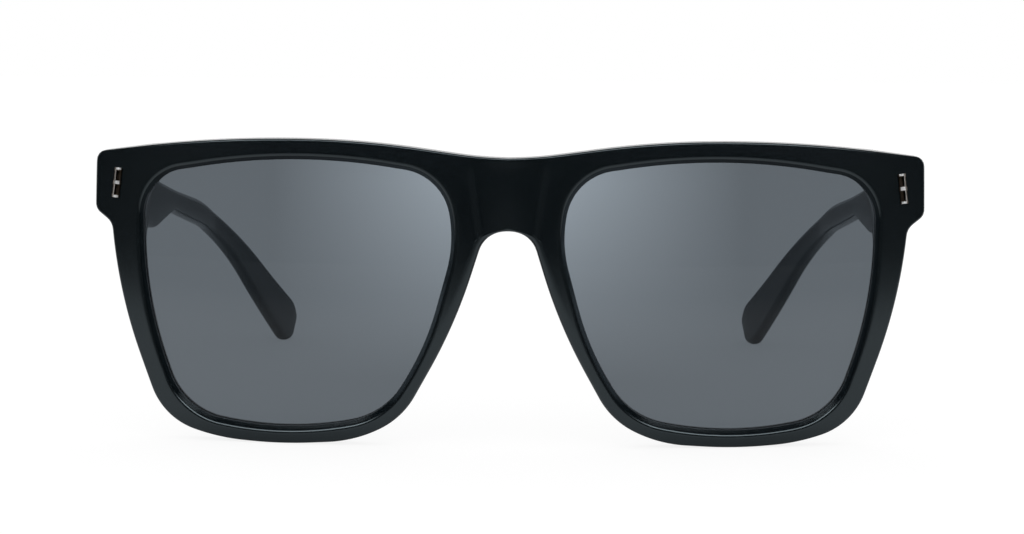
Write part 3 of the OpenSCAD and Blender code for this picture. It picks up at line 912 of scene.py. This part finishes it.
def rivet_axes():
    """The rivet's place on the wearer's left, in metres, and its axes across and along the bar."""
    turn_z = math.asin((RIVET_Z - EYE_Z) / BASE_RADIUS)
    turn_x = math.asin((RIVET_X - SPHERE_X) / BASE_RADIUS / math.cos(turn_z))
    base = Vector((RIVET_X, surface_y(RIVET_X, RIVET_Z, 0) - CENTRE_Y, RIVET_Z)) * MM
    turn = (
        Matrix.Rotation(turn_x, 3, "Z")
        @ Matrix.Rotation(math.radians(90) - turn_z, 3, "X")
        @ Matrix.Rotation(math.radians(BAR_LEAN), 3, "Z")
    )
    return base, turn.col[0].copy(), turn.col[1].copy()


def paint_bar_shade(material):
    """Paint shade into the two windows and onto the nose-side edge of the bar, and paint fainter
    shade on its outer side.
    """
    tree = material.node_tree
    shader = tree.nodes["Principled BSDF"]
    base, axis_across, axis_along = rivet_axes()
    # Both rivets are folded onto the wearer's left. All of them has a negative y, which stays.
    folded = tree.nodes.new("ShaderNodeVectorMath")
    folded.operation = "ABSOLUTE"
    tree.links.new(object_place(tree), folded.inputs[0])
    from_base = tree.nodes.new("ShaderNodeVectorMath")
    from_base.operation = "MULTIPLY_ADD"
    from_base.inputs[1].default_value = (1, -1, 1)
    from_base.inputs[2].default_value = -base
    tree.links.new(folded.outputs["Vector"], from_base.inputs[0])
    side = length_along(tree, from_base.outputs["Vector"], axis_across)
    from_middle = magnitude(tree, length_along(tree, from_base.outputs["Vector"], axis_along))
    low = WINDOW_MIDDLE - WINDOW_LENGTH / 2
    high = WINDOW_MIDDLE + WINDOW_LENGTH / 2 + WINDOW_LAP
    after_low = ramp(tree, from_middle, low - WINDOW_BLUR, low)
    before_high = ramp(tree, from_middle, high + WINDOW_BLUR, high)
    inside = node_math(tree, "MULTIPLY", after_low, before_high)
    nose_side = ramp(tree, side, WINDOW_SIDE + WINDOW_BLUR, WINDOW_SIDE)
    window_shade = node_math(tree, "MULTIPLY", inside, nose_side)
    # Painted shade in the windows and at the nose-side edge, and fainter painted shade on the
    # outer side, in base colour and specular tint
    dark = node_math(tree, "MAXIMUM", window_shade, ramp(tree, side, *NOSE_EDGE_SHADE))
    plain = shader.inputs["Base Color"].links[0].from_socket
    painted_shade_colour = laid_over(tree, plain, ramp(tree, side, *SIDE_SHADE_START), SIDE_SHADE_COLOUR)
    painted_shade_colour = laid_over(tree, painted_shade_colour, dark, WINDOW_SHADE_COLOUR)
    tree.links.new(painted_shade_colour, shader.inputs["Base Color"])
    tree.links.new(painted_shade_colour, shader.inputs["Specular Tint"])


black_acetate = acetate("black_acetate", 0.19)
pad_acetate = acetate("pad_acetate", 0.16)
grey_lens = lens_tint_and_painted_reflection("grey_lens")
hinge_steel = metal("hinge_steel", (0.52, 0.53, 0.54), (0.60, 0.61, 0.62), 0.3, (1, 1, 0.12))
screw_steel = metal("screw_steel", (0.56, 0.57, 0.58), (0.66, 0.67, 0.68), 0.24, (0.3, 0.3, 1))
core_steel = metal("core_wire", (0.48, 0.47, 0.43), (0.62, 0.61, 0.57), 0.3, (1, 0.1, 1))
rivet_chrome = metal("rivet_chrome", (0.86, 0.86, 0.86), (0.96, 0.96, 0.96), 0.42, (1, 1, 0.25))
paint_bar_shade(rivet_chrome)


# The pieces, and the nodes that stay as they are

EDGE_BEVEL = 0.07
NODE_MATERIALS = {
    "_front_leaf": hinge_steel,
    "_temple_leaf": hinge_steel,
    "_hinge_screw": screw_steel,
    "_leaf_screws": screw_steel,
    "_core_wire": core_steel,
    "_bar_rivet": rivet_chrome,
}


def stand_for(piece, material, body, node):
    """Finish a piece that rides on a body in place of a node."""
    piece.data.materials.clear()
    piece.data.materials.append(material)
    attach(piece, body)
    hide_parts(node)


def dress_node(node, material):
    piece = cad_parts[node]
    if not piece.material_slots:
        piece.data.materials.append(material)
    for slot in piece.material_slots:
        slot.material = material


def soften_edges(node):
    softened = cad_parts[node].modifiers.new("edge", "BEVEL")
    softened.width = EDGE_BEVEL * MM
    softened.segments = 2
    softened.limit_method = "ANGLE"


stand_for(build_front(), black_acetate, "front", "front_frame")
for word, sign in (("left", 1), ("right", -1)):
    lens = build_lens(word + "_lens_glass", sign)
    stand_for(lens, grey_lens, "front", word + "_lens")
    pad = build_pad(word + "_pad_form", sign)
    stand_for(pad, pad_acetate, "front", word + "_nose_pad")
    temple = build_temple(word + "_temple_form", sign)
    stand_for(temple, black_acetate, word + "_arm", word + "_temple")
    for ending, metal_finish in NODE_MATERIALS.items():
        dress_node(word + ending, metal_finish)
        if ending != "_core_wire":
            soften_edges(word + ending)


# Camera, from the outline of the photograph: lengths in millimetres, angles in degrees

DISTANCE = 441
FOCAL_LENGTH = 87.49
SENSOR_WIDTH = 36
CLIP_START = 10
YAW = 1.0
PITCH = 6.1
ROLL = -0.4
TARGET = (0.8, -CENTRE_Y, 32.6)


def place_camera():
    data = bpy.data.cameras.new("camera")
    data.lens = FOCAL_LENGTH
    data.sensor_width = SENSOR_WIDTH
    data.clip_start = CLIP_START * MM
    turn = (
        Matrix.Rotation(math.radians(YAW), 3, "Z")
        @ Matrix.Rotation(math.radians(-PITCH), 3, "X")
        @ Matrix.Rotation(math.radians(ROLL), 3, "Y")
    )
    right, forward, up = turn.col[0].copy(), turn.col[1].copy(), turn.col[2].copy()
    axes = Matrix((right, up, -forward)).transposed().to_4x4()
    camera = bpy.data.objects.new("camera", data)
    place = (Vector(TARGET) - forward * DISTANCE) * MM
    camera.matrix_world = Matrix.Translation(place) @ axes
    bpy.context.scene.collection.objects.link(camera)
    bpy.context.scene.camera = camera


place_camera()


# Surroundings, in metres: a floor and a background that show white, and plain light. Reflections
# find painted contact shade on the floor next to the object, and the floor fading in front and,
# less, far behind.

FLOOR_SIDE = 1.6
FLOOR_FRONT = -1.6
FLOOR_BACK = 2
FLOOR_DROP = 0.00005
FLOOR_GLOW = 0.86
FLOOR_DIFFUSE = 0.18
CONTACT_SHADE_REACH = 0.012
FRONT_FADE = (-0.32, -0.12)
FAR_GLOW = 0.15
REAR_FADE = (0.1, 0.4)
REAR_GLOW = 0.5


def seen_directly(tree, path):
    """1 for the camera's rays and for those that pass through the lenses."""
    return node_math(tree, "MAXIMUM", path["Is Camera Ray"], path["Is Transmission Ray"])


def white_floor():
    """The floor's material, which keeps the shadow."""
    material = bpy.data.materials.new("white_floor")
    material.use_nodes = True
    tree = material.node_tree
    tree.nodes.remove(tree.nodes["Principled BSDF"])
    diffuse = tree.nodes.new("ShaderNodeBsdfDiffuse")
    diffuse.inputs["Color"].default_value = (FLOOR_DIFFUSE, FLOOR_DIFFUSE, FLOOR_DIFFUSE, 1)
    depth = axes_of(tree, object_place(tree))["Y"]
    front = map_range(tree, depth, *FRONT_FADE, low=FAR_GLOW, eased=True)
    rear = map_range(tree, depth, *REAR_FADE, low=1, high=REAR_GLOW)
    path = tree.nodes.new("ShaderNodeLightPath").outputs
    # Painted contact shade: an occlusion node darkens the floor's glow where reflections see it
    # next to the object.
    painted_contact_shade = tree.nodes.new("ShaderNodeAmbientOcclusion")
    painted_contact_shade.inputs["Distance"].default_value = CONTACT_SHADE_REACH
    faded = node_math(tree, "MULTIPLY", rear, front)
    shaded = node_math(tree, "MULTIPLY", painted_contact_shade.outputs["AO"], faded)
    glossy = node_math(tree, "MULTIPLY", path["Is Glossy Ray"], shaded)
    shown = node_math(tree, "MAXIMUM", seen_directly(tree, path), glossy)
    glow = tree.nodes.new("ShaderNodeEmission")
    tree.links.new(node_math(tree, "MULTIPLY", shown, FLOOR_GLOW), glow.inputs["Strength"])
    add = tree.nodes.new("ShaderNodeAddShader")
    tree.links.new(diffuse.outputs[0], add.inputs[0])
    tree.links.new(glow.outputs[0], add.inputs[1])
    tree.links.new(add.outputs[0], tree.nodes["Material Output"].inputs["Surface"])
    return material


def build_floor():
    mesh = bpy.data.meshes.new("floor")
    corners = [
        (-FLOOR_SIDE, FLOOR_FRONT, 0),
        (FLOOR_SIDE, FLOOR_FRONT, 0),
        (FLOOR_SIDE, FLOOR_BACK, 0),
        (-FLOOR_SIDE, FLOOR_BACK, 0),
    ]
    mesh.from_pydata(corners, [], [(0, 1, 2, 3)])
    floor = bpy.data.objects.new("floor", mesh)
    floor.location.z = -FLOOR_DROP
    bpy.context.scene.collection.objects.link(floor)
    mesh.materials.append(white_floor())


# What reflections find round the object: a direction, the angles from it where the light ends
# and where it is full, in degrees, and its strength. Three soft boxes above, two behind the
# sides, the white backdrop behind, and three faint patches in front.
STUDIO = [
    ((-0.45, -0.64, 0.80), 18, 8, 7.0),
    ((0.0, -0.64, 0.77), 18, 8, 7.0),
    ((0.45, -0.64, 0.80), 18, 8, 7.0),
    ((0.90, 0.38, 0.22), 26, 8, 2.5),
    ((-0.90, 0.38, 0.22), 26, 8, 2.5),
    ((0.0, 1.0, 0.05), 70, 30, 1.0),
    ((-0.66, -0.75, 0.08), 24, 8, 0.12),
    ((0.0, -1.0, 0.05), 11, 3, 0.20),
    ((0.66, -0.75, 0.08), 24, 8, 0.12),
]
AMBIENT = 0.03
PLAIN_LIGHT = 0.9


def light_surroundings():
    """White behind the object, plain even light on it, and a studio for its reflections."""
    world = bpy.data.worlds.new("studio")
    world.use_nodes = True
    tree = world.node_tree
    tree.nodes.clear()
    where = tree.nodes.new("ShaderNodeTexCoord")
    studio = AMBIENT
    for direction, end, full, strength in STUDIO:
        nearness = length_along(tree, where.outputs["Generated"], Vector(direction).normalized())
        limits = [math.cos(math.radians(angle)) for angle in (end, full)]
        light = map_range(tree, nearness, *limits, high=strength, eased=True)
        studio = node_math(tree, "MAXIMUM", light, studio)
    path = tree.nodes.new("ShaderNodeLightPath").outputs
    glossy = node_math(tree, "MULTIPLY", studio, path["Is Glossy Ray"])
    plain = node_math(tree, "MULTIPLY", path["Is Diffuse Ray"], PLAIN_LIGHT)
    lit = node_math(tree, "MAXIMUM", glossy, plain)
    shown = node_math(tree, "MAXIMUM", seen_directly(tree, path), lit)
    background = tree.nodes.new("ShaderNodeBackground")
    background.inputs["Color"].default_value = (1, 1, 1, 1)
    tree.links.new(shown, background.inputs["Strength"])
    output = tree.nodes.new("ShaderNodeOutputWorld")
    tree.links.new(background.outputs[0], output.inputs["Surface"])
    bpy.context.scene.world = world


build_floor()
light_surroundings()
bpy.context.scene.view_settings.view_transform = "Standard"
